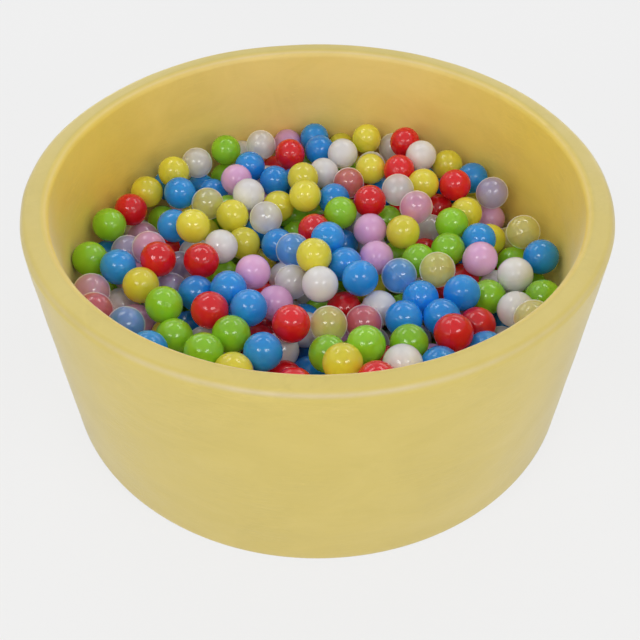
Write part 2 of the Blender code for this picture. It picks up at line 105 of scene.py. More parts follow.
# The zip's teeth and stitches; a tooth's size is out from the wall, along it and up
TEETH_PITCH = 0.0030
TOOTH_SIZE = (0.0020, 0.0014, 0.0030)
TOOTH_NECK = 0.0007
TOOTH_TIP = 0.0005
TEETH_RISE = 0.0019
TEETH_PROUD = 0.0010
STITCH_SPACING = 0.0050
STITCH_LENGTH = 0.0036
STITCH_RADIUS = 0.0005
STITCH_ROWS = (0.0035, 0.0095)
STITCH_PROUD = 0.0001

# The balls; the drops are in ball radii below the bed's top layer. A ball's model has sides and
# rings; the hidden ones are rougher below a level
BALL_RADIUS = 0.035
BALL_GAP = 0.0004
LIFT_GAP = 0.0006
BED_HEIGHT = 0.276
LAYER_DROPS = (0.0, 1.5, 2.6)
DEEP_DROP = 1.3
SLAB_LEVEL = 0.213
ROUGH_BELOW = 0.16
UNDER_STEP = 0.005
HIDDEN_STEP = 0.007
FILL_SEED = 7
TURN_SEED = 11
FINE_BALL = (36, 22)
PLAIN_BALL = (24, 14)
SEAM_WIDTH = 0.0007
SEAM_RISE = 1.005
GATE_DEPTH = 0.0006

# The view in which their centres were read; the eye's place is in the pit's outer radii
EYE_BACK = 2.2195
EYE_UP = 2.3588
VIEW_PITCH = radians(45.14)
FOCAL_PIXELS = 760.4
CENTRE_ACROSS = 317.1
CENTRE_DOWN = 320.0
PICTURE = 640
SENSOR = 36.0

# How the balls give way to one another
SETTLE_STEPS = 900
GUIDED_STEPS = 500
SIDE_SHARE = 0.3
HOME_PULL = 0.3
DEPTH_PULL = 0.003

# The studio
AMBIENT = 0.429
AMBIENT_TILT = 0.264
PALE = 0.889
FLOOR_SIZE = 60
FLOOR_DROP = 0.0005
FLOOR_TONE = (0.82, 0.82, 0.82)
FLOOR_SHARE = 0.87
FADE_FROM = 1.5
FADE_TO = 6.0
PANEL_DISTANCE = 2.6
# Name, direction, width, depth and watts of the panel on either side
PANELS = (
    ("front_panel", (0.37, -0.578, 0.723), 0.95, 0.45, 12.5),
    ("back_panel", (0.385, 0.427, 0.819), 1.35, 0.50, 10.5),
    ("low_panel", (0.66, -0.70, 0.26), 1.50, 1.20, 12.5),
    ("rear_panel", (0.50, 0.81, 0.30), 1.50, 1.20, 7.5),
)

# Colours of the cloths, the zip and the balls
PALE_VELVET = (0.690, 0.545, 0.140)
DEEP_VELVET = (0.640, 0.503, 0.117)
# Painted bounce light on the wall's inner side, and painted sheen towards its far side
INSIDE_PAINTED_LIGHT = (1.42, 1.34, 0.90)
FAR_INSIDE_PAINTED_SHEEN = (1.37, 1.31, 1.62)
# Painted shade on the rim's top
RIM_PAINTED_SHADE = (0.94, 0.95, 1.0)
# The colour of the painted highlight along the rim's edges
RIM_HIGHLIGHT_TONE = (1.0, 1.02, 2.0)
LINING_SHADE = 0.9
TAPE_COLOUR = (0.62, 0.47, 0.14)
GRIP_COLOUR = (0.16, 0.15, 0.13)
TEETH_COLOUR = (0.64, 0.50, 0.17)
THREAD_COLOUR = (0.66, 0.52, 0.18)
BALL_COLOURS = {
    "blue": (0.012, 0.240, 0.890),
    "red": (0.750, 0.007, 0.012),
    "green": (0.225, 0.585, 0.016),
    "yellow": (0.835, 0.722, 0.042),
    "white": (0.870, 0.862, 0.925),
    "pink": (0.800, 0.360, 0.720),
}
# Painted see-through colours for the clear balls, the colour of the balls behind them; pearl is the
# plain milky body
SEE_THROUGH_PAINTS = {
    "pearl": (0.840, 0.820, 0.810),
    "blue": (0.085, 0.390, 0.940),
    "olive": (0.790, 0.720, 0.190),
    "rose": (0.870, 0.420, 0.660),
    "wine": (0.760, 0.110, 0.170),
    "mauve": (0.480, 0.420, 0.720),
}

# The centres as read, in pixels across and down: balls that lift out, then three packed layers
LOOSE_BALLS = {
    "blue": (
        (118, 267), (328, 239), (248, 308), (263, 352), (462, 293), (360, 278), (478, 240),
        (541, 257),
    ),
    "red": ((158, 259), (202, 261), (211, 310), (291, 324), (290, 154), (453, 333)),
    "green": ((226, 150), (110, 225), (164, 305), (204, 352), (340, 213), (452, 224)),
    "yellow": ((174, 172), (193, 226), (305, 196), (314, 256), (367, 139), (403, 232)),
    "white": ((249, 195), (342, 154), (420, 156), (515, 275), (519, 313)),
    "pink": ((480, 259),),
    "clear": (
        (261, 145), (208, 204), (266, 218), (416, 207), (437, 270), (400, 276), (492, 193),
        (523, 232),
    ),
}
TOP_BALLS = {
    "blue": (
        (180, 193), (250, 167), (174, 226), (197, 292), (148, 350), (228, 289), (278, 245),
        (314, 138), (320, 150), (334, 199), (275, 181), (345, 264), (421, 298), (405, 319),
        (441, 317), (440, 365), (486, 350), (472, 178),
    ),
    "red": (
        (131, 210), (315, 230), (405, 143), (400, 170), (370, 201), (476, 325), (377, 381),
        (455, 185),
    ),
    "green": (
        (89, 259), (174, 337), (231, 334), (329, 353), (448, 250), (419, 261), (365, 345),
        (409, 343), (488, 297), (546, 299),
    ),
    "yellow": (
        (147, 192), (233, 216), (141, 285), (278, 206), (243, 243), (343, 363), (233, 372),
        (371, 169), (303, 178), (447, 165), (422, 184), (466, 213),
    ),
    "white": (
        (221, 247), (320, 284), (324, 173), (379, 309), (403, 364),
    ),
    "pink": (
        (237, 180), (253, 272), (275, 303), (370, 230), (376, 258),
    ),
    "clear": (
        (197, 163), (149, 248), (92, 291), (93, 311), (126, 325), (293, 250), (292, 282),
        (329, 325), (348, 183), (398, 190), (363, 323), (534, 316),
    ),
}
SECOND_BALLS = {
    "blue": (
        (201, 188), (213, 194), (189, 328), (258, 234), (310, 361), (310, 374), (381, 193),
        (342, 245), (422, 180),
    ),
    "red": (
        (164, 248), (263, 300), (260, 343), (284, 379), (294, 387), (276, 170), (437, 209),
        (462, 280), (344, 309), (390, 364),
    ),
    "green": (
        (225, 178), (163, 221), (293, 216), (223, 275), (396, 257), (513, 263), (530, 287),
    ),
    "yellow": (
        (204, 233), (169, 336), (369, 287), (489, 240),
    ),
    "white": (
        (267, 180), (121, 305), (285, 278), (306, 330), (280, 351), (417, 291), (496, 287),
    ),
    "pink": (
        (288, 143), (489, 219),
    ),
    "clear": (
        (143, 237), (128, 251), (180, 268), (171, 290), (205, 344), (195, 254), (255, 374),
        (394, 146), (371, 166), (430, 230), (372, 343), (507, 243), (501, 344),
    ),
}
THIRD_BALLS = {
    "blue": (
        (108, 256), (232, 313), (304, 321), (372, 222), (505, 328),
    ),
    "red": (
        (268, 329), (424, 254), (399, 216), (441, 300),
    ),
    "green": (
        (297, 236), (318, 220), (319, 314), (306, 166),
    ),
    "yellow": (
        (260, 264), (358, 170), (471, 205),
    ),
    "clear": (
        (160, 322),
    ),
}
# The clear balls whose body is painted with the see-through colour of the balls about them; the
# rest of them stay pearly
SEE_THROUGH_PAINTED_BALLS = {
    "blue": ((400, 276), (293, 250), (126, 325)),
    "olive": ((437, 270), (523, 232), (329, 325), (507, 243), (208, 204), (534, 316)),
    "rose": ((416, 207), (92, 291), (149, 248), (143, 237)),
    "wine": ((363, 323), (348, 183), (93, 311)),
    "mauve": ((492, 193), (128, 251), (180, 268), (171, 290)),
}


def tidy_selection():
    """Leaves nothing selected, so that the next operator acts on its own piece alone."""
    if bpy.context.object and bpy.context.object.mode != "OBJECT":
        bpy.ops.object.mode_set(mode="OBJECT")
    bpy.ops.object.select_all(action="DESELECT")


def take(piece):
    """Selects one piece and makes it active."""
    tidy_selection()
    piece.select_set(True)
    bpy.context.view_layer.objects.active = piece


def newest(name):
    """The primitive that was just added, under its own name and with its place in its mesh."""
    piece = bpy.context.object
    piece.name = name
    piece.data.name = name
    bpy.ops.object.transform_apply(location=True, rotation=True, scale=True)
    return piece


def pick(piece, kind, wanted):
    """In edit mode, selects the faces, edges or points for which wanted says yes."""
    take(piece)
    bpy.ops.object.mode_set(mode="EDIT")
    bpy.ops.mesh.select_mode(type=kind)
    bpy.ops.mesh.select_all(action="DESELECT")
    bpy.ops.object.mode_set(mode="OBJECT")
    mesh = piece.data
    parts = {"FACE": mesh.polygons, "EDGE": mesh.edges, "VERT": mesh.vertices}[kind]
    for part in parts:
        corners = [part.co] if kind == "VERT" else [mesh.vertices[v].co for v in part.vertices]
        part.select = wanted(corners)
    bpy.ops.object.mode_set(mode="EDIT")


def done():
    bpy.ops.object.mode_set(mode="OBJECT")


def apply_modifier(piece, kind, **settings):
    take(piece)
    step = piece.modifiers.new(kind.title(), kind)
    for setting, value in settings.items():
        setattr(step, setting, value)
    bpy.ops.object.modifier_apply(modifier=step.name)


def smooth(piece, angle=35):
    take(piece)
    bpy.ops.object.shade_smooth_by_angle(angle=radians(angle))


def joined(pieces, name):
    """Several pieces made one."""
    tidy_selection()
    for piece in pieces:
        piece.select_set(True)
    bpy.context.view_layer.objects.active = pieces[0]
    if len(pieces) > 1:
        bpy.ops.object.join()
    whole = bpy.context.object
    whole.name = name
    whole.data.name = name
    return whole


def copy_at(model, matrix, name):
    """A copy of the model with its own mesh, moved to its place."""
    piece = model.copy()
    piece.data = model.data.copy()
    piece.data.transform(matrix)
    piece.name = name
    bpy.context.collection.objects.link(piece)
    return piece


class Wire:
    """A socket's value, which can be written in sums as a number can."""

    def __init__(self, tree, socket):
        self.tree = tree
        self.socket = socket

    def _sum(self, operation, first, second=None):
        step = self.tree.nodes.new("ShaderNodeMath")
        step.operation = operation
        for place, value in enumerate((first, second)):
            if isinstance(value, Wire):
                self.tree.links.new(value.socket, step.inputs[place])
            elif value is not None:
                step.inputs[place].default_value = value
        return Wire(self.tree, step.outputs[0])

    def __add__(self, other):
        return self._sum("ADD", self, other)

    __radd__ = __add__

    def __mul__(self, other):
        return self._sum("MULTIPLY", self, other)

    __rmul__ = __mul__

    def __sub__(self, other):
        return self._sum("SUBTRACT", self, other)

    def __rsub__(self, other):
        return self._sum("SUBTRACT", other, self)

    def __pow__(self, other):
        return self._sum("POWER", self, other)

    def above(self, level):
        return self._sum("GREATER_THAN", self, level)

    def wave(self):
        return self._sum("SINE", self)

    def size(self):
        return self._sum("ABSOLUTE", self)

    def other(self, name):
        """Another output of the same node."""
        return Wire(self.tree, self.socket.node.outputs[name])


class Finish:
    """A material under construction."""

    def __init__(self, name):
        self.material = bpy.data.materials.new(name)
        self.material.use_nodes = True
        self.tree = self.material.node_tree
        self.tree.nodes.clear()
        self.out = self.tree.nodes.new("ShaderNodeOutputMaterial")

    def node(self, kind, settings=None, **sockets):
        """A node with its settings, then the values or wires of its sockets; its first output."""
        made = self.tree.nodes.new(kind)
        for setting, value in (settings or {}).items():
            setattr(made, setting, value)
        self.feed(made, sockets)
        return Wire(self.tree, made.outputs[0])

    def feed(self, made, sockets):
        """Wires or values for sockets, by name or by place."""
        for key, value in sockets.items():
            socket = made.inputs[key.replace("_", " ") if isinstance(key, str) else key]
            if isinstance(value, Wire):
                self.tree.links.new(value.socket, socket)
            else:
                socket.default_value = value

    def place(self):
        """Object coordinates, which are metres in the pit's own frame."""
        made = self.tree.nodes.new("ShaderNodeTexCoord")
        return Wire(self.tree, made.outputs["Object"])

    def parts(self, where):
        split = self.tree.nodes.new("ShaderNodeSeparateXYZ")
        self.feed(split, {"Vector": where})
        return [Wire(self.tree, socket) for socket in split.outputs]

    def speckle(self, where, scale, detail=2.0, roughness=0.5, distortion=0.0):
        return self.node(
            "ShaderNodeTexNoise", Vector=where, Scale=scale, Detail=detail,
            Roughness=roughness, Distortion=distortion,
        )

    def stretch(self, where, scale):
        return self.node("ShaderNodeMapping", Vector=where, Scale=scale)

    def span(self, value, low, high, to_low=0.0, to_high=1.0):
        """The value's run from low to high, carried over to another run and held at its ends."""
        made = self.tree.nodes.new("ShaderNodeMapRange")
        made.clamp = True
        self.feed(made, dict(enumerate((value, low, high, to_low, to_high))))
        return Wire(self.tree, made.outputs[0])

    def blend(self, factor, first, second, way="MIX"):
        """One colour turned into another."""
        made = self.tree.nodes.new("ShaderNodeMix")
        made.data_type = "RGBA"
        made.blend_type = way
        first, second = (c if isinstance(c, Wire) else (*c, 1) for c in (first, second))
        self.feed(made, {0: factor, 6: first, 7: second})
        return Wire(self.tree, made.outputs[2])

    def relief(self, height, depth, under=None):
        """A bump of that depth in metres."""
        sockets = {"Height": height, "Distance": depth, "Strength": 1.0}
        if under is not None:
            sockets["Normal"] = under
        return self.node("ShaderNodeBump", **sockets)

    def layer(self, factor, first, second):
        """Two shaders mixed by a factor."""
        made = self.tree.nodes.new("ShaderNodeMixShader")
        self.feed(made, dict(enumerate((factor, first, second))))
        return Wire(self.tree, made.outputs[0])

    def surface(self, **sockets):
        for name in ("Base_Color", "Sheen_Tint", "Emission_Color"):
            given = sockets.get(name)
            if given is not None and not isinstance(given, Wire):
                sockets[name] = (*given, 1)
        return self.node("ShaderNodeBsdfPrincipled", **sockets)

    def close(self, shader):
        self.tree.links.new(shader.socket, self.out.inputs["Surface"])
        return self.material


def shaded(colour, share):
    return tuple(c * share for c in colour)


def seen_directly(paths):
    """One for what the eye sees, straight, in a gloss or through a clear ball; nought for light."""
    return (paths + paths.other("Is Glossy Ray") + paths.other("Is Transmission Ray")).above(0.5)


def velvet(name, pale, deep, nap_depth=0.0003):
    """Short-pile velvet: the nap lies this way and that, in soft smears, fine strokes and crushed
    lines. The inner side is painted lighter and richer as painted bounce light, and paler towards
    the far side (+Y) as painted sheen; the rim's top is painted a little darker as painted shade,
    and both edges of the rim carry a painted highlight, a pale line, broken on the outer edge.
    """
    cloth = Finish(name)
    where = cloth.place()
    along, across, up = cloth.parts(where)
    radius = (along ** 2 + across ** 2) ** 0.5
    inner = cloth.span(radius, 0.491, 0.503, 1.0, 0.0)
    off_outer = ((up - radius) - (PIT_HEIGHT - OUTER_RADIUS)).size()
    off_inner = ((up + radius) - (PIT_HEIGHT + INNER_RADIUS)).size()
    rounding = cloth.span(up, PIT_HEIGHT - RIM_ROUNDING, PIT_HEIGHT - RIM_ROUNDING / 2)
    smear = cloth.speckle(cloth.stretch(where, (1, 1, 1.6)), 5.0, 5.0, 0.62, 1.4)
    # The painted highlight along the rim's edges: a pale line, broken, strongest at the front and
    # back, weaker on the inner edge
    highlight_strength = cloth.span(along.size(), 0.12, 0.45, 1.0, 0.40) * cloth.span(smear, 0.30, 0.55, 0.6, 1.0)
    rim_highlight = cloth.span(off_outer, 0.001, 0.008, 1.0, 0.0) * highlight_strength
    rim_highlight = (rim_highlight + cloth.span(off_inner, 0.000, 0.006, 0.55, 0.0)) * rounding
    streak = cloth.speckle(cloth.stretch(where, (1, 1, 3.0)), 17.0, 4.0, 0.6, 0.8)
    fibre = cloth.speckle(where, 900.0, 3.0, 0.7)
    leaning = cloth.node(
        "ShaderNodeMapping", Vector=where, Rotation=(0.16, 0.12, 0.0), Scale=(1.0, 1.0, 6.0)
    )
    fold = cloth.speckle(leaning, 3.2, 3.0, 0.5, 0.4)
    patch = cloth.span(cloth.speckle(where, 8.0, 2.0), 0.45, 0.65)
    stroke = cloth.span(cloth.speckle(leaning, 42.0, 3.0, 0.65, 0.8), 0.42, 0.72)
    stroke = stroke * (patch * 0.8 + 0.2)
    line = cloth.span((fold - 0.5).size(), 0.0, 0.010, 1.0, 0.0) * patch
    colour = cloth.blend(cloth.span(smear, 0.32, 0.70), deep, pale)
    colour = cloth.blend(cloth.span(streak, 0.42, 0.72, 0.0, 0.30), colour, pale)
    colour = cloth.blend(stroke * 0.45, colour, shaded(deep, 0.90))
    colour = cloth.blend(line * 0.35, colour, shaded(pale, 1.08))
    colour = cloth.blend(cloth.span(fibre, 0.25, 0.8, 0.0, 0.16), colour, deep)
    # Painted light on the inner side, painted shade on the rim's top, painted highlight on its
    # edges
    painted_inside_light = cloth.blend(cloth.span(across, 0.20, 0.46), INSIDE_PAINTED_LIGHT, FAR_INSIDE_PAINTED_SHEEN)
    for share, tone in ((inner, painted_inside_light), (rounding, RIM_PAINTED_SHADE), (rim_highlight, RIM_HIGHLIGHT_TONE)):
        colour = cloth.blend(share, colour, cloth.blend(1.0, colour, tone, "MULTIPLY"))
    soft = cloth.relief(smear, nap_depth * 2)
    creased = cloth.relief(streak - line * 0.4 - stroke * 0.5, nap_depth, soft)
    normal = cloth.relief(fibre, nap_depth * 0.35, creased)
    return cloth.close(cloth.surface(
        Base_Color=colour, Roughness=cloth.span(streak, 0.3, 0.8, 0.50, 0.62), Normal=normal,
        Sheen_Weight=0.60, Sheen_Roughness=0.30, Sheen_Tint=(1.0, 0.99, 0.97),
        Specular_IOR_Level=0.5, Coat_Weight=0.2, Coat_Roughness=0.30,
    ))


def woven(name, colour, thread, depth):
    """A plain weave of threads of the given width."""
    cloth = Finish(name)
    where = cloth.place()
    along, across, up = cloth.parts(where)
    turn = 2 * pi / thread
    warp = (along * turn).wave() * (across * turn).wave()
    weft = (up * turn).wave() * 0.5 + warp
    wear = cloth.speckle(where, 30.0, 4.0, 0.6)
    # The threads' hollows are darker: painted shade
    shade = cloth.blend(cloth.span(weft, -1.0, 1.0), shaded(colour, 0.72), colour)
    shade = cloth.blend(cloth.span(wear, 0.3, 0.8, 0.0, 0.3), shade, shaded(colour, 0.85))
    return cloth.close(cloth.surface(
        Base_Color=shade, Roughness=cloth.span(wear, 0.2, 0.8, 0.78, 0.92),
        Normal=cloth.relief(weft, depth), Specular_IOR_Level=0.2,
    ))


def grip_cloth(name, colour, dot_pitch=0.012, thread=0.0012):
    """The underside: woven cloth with rows of small rubbery dots."""
    cloth = Finish(name)
    where = cloth.place()
    along, across, _ = cloth.parts(where)
    turn = 2 * pi / dot_pitch
    dots = cloth.span((along * turn).wave() * (across * turn).wave(), 0.45, 0.6)
    threads = 2 * pi / thread
    weave = (along * threads).wave() * (across * threads).wave()
    dust = cloth.speckle(where, 14.0, 5.0, 0.65)
    # The threads' hollows are darker: painted shade
    shade = cloth.blend(cloth.span(weave, -1.0, 1.0), shaded(colour, 0.8), colour)
    shade = cloth.blend(cloth.span(dust, 0.45, 0.8, 0.0, 0.35), shade, (0.30, 0.28, 0.25))
    shade = cloth.blend(dots, shade, (0.05, 0.05, 0.05))
    return cloth.close(cloth.surface(
        Base_Color=shade, Roughness=cloth.span(dots, 0.0, 1.0, 0.9, 0.55),
        Normal=cloth.relief(dots, 0.0005, cloth.relief(weave, 0.0001)),
    ))


def nickel(name):
    """Plated zinc, dulled in patches by handling."""
    metal = Finish(name)
    where = metal.place()
    brush = metal.speckle(metal.stretch(where, (1, 1, 12)), 900.0, 2.0, 0.6)
    touch = metal.speckle(where, 240.0, 4.0, 0.6)
    dulled = metal.span(touch, 0.4, 0.75, 0.0, 0.5)
    colour = metal.blend(dulled, (0.66, 0.64, 0.60), (0.46, 0.44, 0.40))
    return metal.close(metal.surface(
        Base_Color=colour, Metallic=1.0,
        Roughness=metal.span(touch, 0.3, 0.8, 0.24, 0.44), Normal=metal.relief(brush, 0.00002),
    ))


def nylon(name, colour):
    """Zip teeth and thread, satin and a little uneven."""
    plastic = Finish(name)
    where = plastic.place()
    tone = plastic.speckle(where, 320.0, 3.0, 0.6)
    shade = plastic.blend(plastic.span(tone, 0.3, 0.8, 0.0, 0.4), colour, shaded(colour, 0.75))
    return plastic.close(plastic.surface(
        Base_Color=shade, Roughness=plastic.span(tone, 0.3, 0.7, 0.42, 0.6),
        Normal=plastic.relief(tone, 0.00004),
    ))


def ball_plastic(name, colour):
    """Blown plastic: each ball a shade of its own, with faint rubs, and glossy."""
    plastic = Finish(name)
    where = plastic.place()
    batch = plastic.speckle(where, 11.0, 0.0)
    rub = plastic.speckle(plastic.stretch(where, (1, 1.6, 1)), 260.0, 5.0, 0.7, 1.0)
    cloud = plastic.speckle(where, 70.0, 3.0, 0.6)
    paler = tuple(min(0.95, c * 1.10 + 0.004) for c in colour)
    deeper = shaded(colour, 0.88)
    shade = plastic.blend(plastic.span(batch, 0.35, 0.65), deeper, paler)
    shade = plastic.blend(plastic.span(cloud, 0.4, 0.8, 0.0, 0.25), shade, deeper)
    shade = plastic.blend(plastic.span(rub, 0.66, 0.80, 0.0, 0.10), shade, (0.8, 0.8, 0.8))
    return plastic.close(plastic.surface(
        Base_Color=shade, Roughness=plastic.span(rub, 0.35, 0.8, 0.10, 0.20),
        Normal=plastic.relief(cloud, 0.00002), Specular_IOR_Level=0.4,
        Subsurface_Weight=0.5, Subsurface_Radius=(1.0, 1.0, 1.0), Subsurface_Scale=0.30,
    ))


def clear_plastic(name, see_through_paint):
    """Clear blown plastic, milky, its body painted with the colour of the balls seen through it,
    inside a paler edge with a faint painted glow.
    """
    plastic = Finish(name)
    where = plastic.place()
    cloud = plastic.speckle(where, 60.0, 3.0, 0.6)
    rub = plastic.speckle(where, 260.0, 5.0, 0.7, 1.0)
    facing = plastic.node("ShaderNodeLayerWeight", Blend=0.5).other("Facing")
    outside = 1.0 - plastic.node("ShaderNodeNewGeometry").other("Backfacing")
    gloss = plastic.node("ShaderNodeFresnel", IOR=1.5) * outside
    through = plastic.node("ShaderNodeBsdfTransparent", Color=(0.96, 0.97, 0.97, 1))
    softened = plastic.node(
        "ShaderNodeBsdfRefraction", Color=(0.96, 0.97, 0.97, 1), IOR=1.04,
        Roughness=plastic.span(cloud, 0.3, 0.7, 0.30, 0.40),
    )
    # The body painted with the see-through colour, mottled
    deeper = shaded(see_through_paint, 0.85)
    glow = plastic.surface(
        Base_Color=plastic.blend(plastic.span(cloud, 0.4, 0.8, 0.0, 0.6), see_through_paint, deeper),
        Roughness=0.5,
    )
    # The milky edge, with a faint painted glow
    pale = tuple(0.15 * c + 0.82 for c in see_through_paint)
    milk_with_painted_glow = plastic.surface(
        Base_Color=plastic.blend(plastic.span(cloud, 0.4, 0.8, 0.0, 0.2), pale, see_through_paint),
        Roughness=0.4, Emission_Color=pale, Emission_Strength=0.12,
    )
    shine = plastic.node(
        "ShaderNodeBsdfGlossy", Color=(1, 1, 1, 1),
        Roughness=plastic.span(rub, 0.35, 0.8, 0.09, 0.17),
    )
    inside = plastic.layer(0.48, plastic.layer(0.25, through, softened), glow)
    veiled = plastic.layer(plastic.span(facing, 0.62, 0.86, 0.0, 0.95), inside, milk_with_painted_glow)
    return plastic.close(plastic.layer(gloss, veiled, shine))


COVER = velvet("velvet_cover", PALE_VELVET, DEEP_VELVET)
LINING = velvet(
    "velvet_floor", shaded(PALE_VELVET, LINING_SHADE), shaded(DEEP_VELVET, LINING_SHADE)
)
TAPE = woven("zip_tape_weave", TAPE_COLOUR, thread=0.0011, depth=0.0002)
GRIP = grip_cloth("grip_underside", GRIP_COLOUR)
NICKEL = nickel("nickel")
TEETH = nylon("zip_teeth", TEETH_COLOUR)
THREAD = nylon("cover_thread", THREAD_COLOUR)
PLASTICS = {name: ball_plastic(f"{name}_plastic", tone) for name, tone in BALL_COLOURS.items()}
CLEAR = {name: clear_plastic(f"clear_{name}_plastic", tone) for name, tone in SEE_THROUGH_PAINTS.items()}


def dress(piece, material):
    piece.data.materials.clear()
    piece.data.materials.append(material)


def sculpt(piece, move):
    """Moves each point of a soft piece by what move says for its place."""
    for corner in piece.data.vertices:
        corner.co += move(corner.co)
    piece.data.update()


def swell(piece, room):
    """Lets the foam press the cloth out, no point further than the room that it has."""
    places = [corner.co.copy() for corner in piece.data.vertices]
    held = piece.vertex_groups.new(name="held")
    held.add([number for number, place in enumerate(places) if room(place) <= 0], 1.0, "REPLACE")
    take(piece)
    cloth = piece.modifiers.new("Cloth", "CLOTH")
    cloth.settings.quality = 5
    cloth.settings.mass = CLOTH_MASS
    cloth.settings.use_pressure = True
    cloth.settings.uniform_pressure_force = CLOTH_PRESSURE
    cloth.settings.vertex_group_mass = "held"
    cloth.settings.effector_weights.gravity = 0
    for moment in range(CLOTH_MOMENTS):
        bpy.context.scene.frame_set(moment + 1)
    bpy.ops.object.modifier_apply(modifier=cloth.name)
    piece.vertex_groups.remove(piece.vertex_groups["held"])
    for corner, place in zip(piece.data.vertices, places):
        move = corner.co - place
        corner.co = place + move * min(1, max(0, room(place)) / max(move.length, 0.000001))
    bpy.context.scene.frame_set(1)


def waver(angle, height, seed, size):
    """A soft rise and fall along the wall, which meets itself after a full turn."""
    point = Vector((cos(angle) * size, sin(angle) * size, height * size * 2 + seed))
    return noise.noise(point)


def make_cover():
    """The velvet wall: a hoop with a rounded rim, a little uneven, with a window for the zip."""
    height = PIT_HEIGHT - COVER_FOOT
    bpy.ops.mesh.primitive_cylinder_add(
        vertices=WALL_SIDES, radius=OUTER_RADIUS, depth=height, end_fill_type="NOTHING",
        location=(0, 0, COVER_FOOT + height / 2),
    )
    wall = newest("velvet_wall")
    apply_modifier(
        wall, "SOLIDIFY", thickness=OUTER_RADIUS - INNER_RADIUS, offset=-1.0, use_even_offset=True
    )
    middle = (OUTER_RADIUS + INNER_RADIUS) / 2

    def is_corner(ends, level):
        on_level = all(abs(end.z - level) < 0.0001 for end in ends)
        return on_level and abs(hypot(*ends[0].xy) - hypot(*ends[1].xy)) < 0.0001

    pick(wall, "EDGE", lambda ends: is_corner(ends, PIT_HEIGHT))
    bpy.ops.mesh.bevel(offset=RIM_ROUNDING, segments=RIM_STEPS, profile=0.5)
    done()
    pick(wall, "EDGE", lambda ends: is_corner(ends, COVER_FOOT))
    bpy.ops.mesh.bevel(offset=FOOT_ROUNDING, segments=FOOT_STEPS, profile=0.5)
    done()
    pick(wall, "EDGE", lambda ends: abs(ends[0].z - ends[1].z) > height / 2)
    bpy.ops.mesh.subdivide(number_cuts=WALL_LEVELS)
    done()
    take(wall)
    bpy.ops.object.mode_set(mode="EDIT")
    bpy.ops.mesh.select_all(action="SELECT")
    bpy.ops.mesh.remove_doubles(threshold=0.00005)
    bpy.ops.mesh.normals_make_consistent(inside=False)
    bpy.ops.object.mode_set(mode="OBJECT")

    def room(place):
        if hypot(place.x, place.y) > middle:
            above = (place.z - FIRM_FOOT) / FOOT_BLEND
        else:
            above = (place.z - BED_HEIGHT - FIRM_AT_BALLS) / BALLS_BLEND
        below = (PIT_HEIGHT - FIRM_RIM - place.z) / RIM_BLEND
        return CLOTH_ROOM * min(1, above, below)

    swell(wall, room)

    def settle_cloth(corner):
        angle = atan2(corner.y, corner.x)
        radius = hypot(corner.x, corner.y)
        way = 1 if radius > middle else -1
        rise = min(1, max(0, (corner.z - FIRM_FOOT) / FOOT_BLEND))
        top = min(1, max(0, (corner.z - PIT_HEIGHT + RIM_BLEND) / RIM_BLEND))
        drift = DRIFT_DEPTH * waver(angle, corner.z, 3.0 + way, 2.2)
        ripple = RIPPLE_DEPTH * waver(angle, corner.z, 11.0 + way, 7.0)
        pinch = PINCH_DEPTH * top * waver(angle, 0, 23.0, 4.5)
        outward = rise * (way * (drift + ripple) + pinch)
        lift = RIM_WAVE * top * waver(angle, 0, 31.0, 2.6) - RIM_SINK * top
        return Vector((cos(angle) * outward, sin(angle) * outward, lift))

    sculpt(wall, settle_cloth)
    cut_window(wall)
    smooth(wall, 50)
    dress(wall, COVER)
    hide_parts("wall_cover", "ring_foam")
    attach(wall, "pit")


def cut_window(wall):
    """The low window at the back where the zip lies."""
    bpy.ops.mesh.primitive_plane_add(size=1, location=(0, 0, 0))
    cutter = newest("window_cutter")
    first = radians(WINDOW_FIRST)
    sweep = radians(WINDOW_LAST - WINDOW_FIRST)
    front = OUTER_RADIUS + CUTTER_REACH
    places = (
        (WINDOW_BACK, -CUTTER_REACH), (front, -CUTTER_REACH),
        (WINDOW_BACK, WINDOW_TOP), (front, WINDOW_TOP),
    )
    for corner, (radius, level) in zip(cutter.data.vertices, places):
        corner.co = (radius * cos(first), radius * sin(first), level)
    take(cutter)
    bpy.ops.object.mode_set(mode="EDIT")
    bpy.ops.mesh.select_all(action="SELECT")
    bpy.ops.mesh.spin(steps=WINDOW_STEPS, angle=-sweep, center=(0, 0, 0), axis=(0, 0, 1))
    bpy.ops.mesh.select_all(action="SELECT")
    bpy.ops.mesh.normals_make_consistent(inside=False)
    bpy.ops.object.mode_set(mode="OBJECT")
    apply_modifier(wall, "BOOLEAN", operation="DIFFERENCE", solver="MANIFOLD", object=cutter)
    bpy.data.objects.remove(cutter, do_unlink=True)


def make_floor_pad():
    """The padded floor under the balls, crowned and drawn in at its edge."""
    height = FLOOR_TOP - COVER_FOOT
    bpy.ops.mesh.primitive_cylinder_add(
        vertices=PAD_SIDES, radius=INNER_RADIUS - PAD_GAP, depth=height,
        location=(0, 0, COVER_FOOT + height / 2),
    )
    pad = newest("floor_pad")
    top = FLOOR_TOP - PAD_TOP_MARGIN
    pick(pad, "EDGE", lambda ends: all(end.z > top for end in ends))
    bpy.ops.mesh.bevel(offset=PAD_ROUNDING, segments=4, profile=0.5)
    done()
    pick(pad, "FACE", lambda corners: all(corner.z > top for corner in corners))
    for width in PAD_RINGS:
        bpy.ops.mesh.inset(thickness=width)
    done()

    def crown(corner):
        if corner.z < top:
            return Vector((0, 0, 0))
        angle = atan2(corner.y, corner.x)
        return Vector((0, 0, CROWN_WAVE * waver(angle, 0, 5.0, 3.0) - CROWN_SINK))

    sculpt(pad, crown)
    smooth(pad, 50)
    dress(pad, LINING)
    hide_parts("base_foam", "floor_cover")
    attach(pad, "pit")


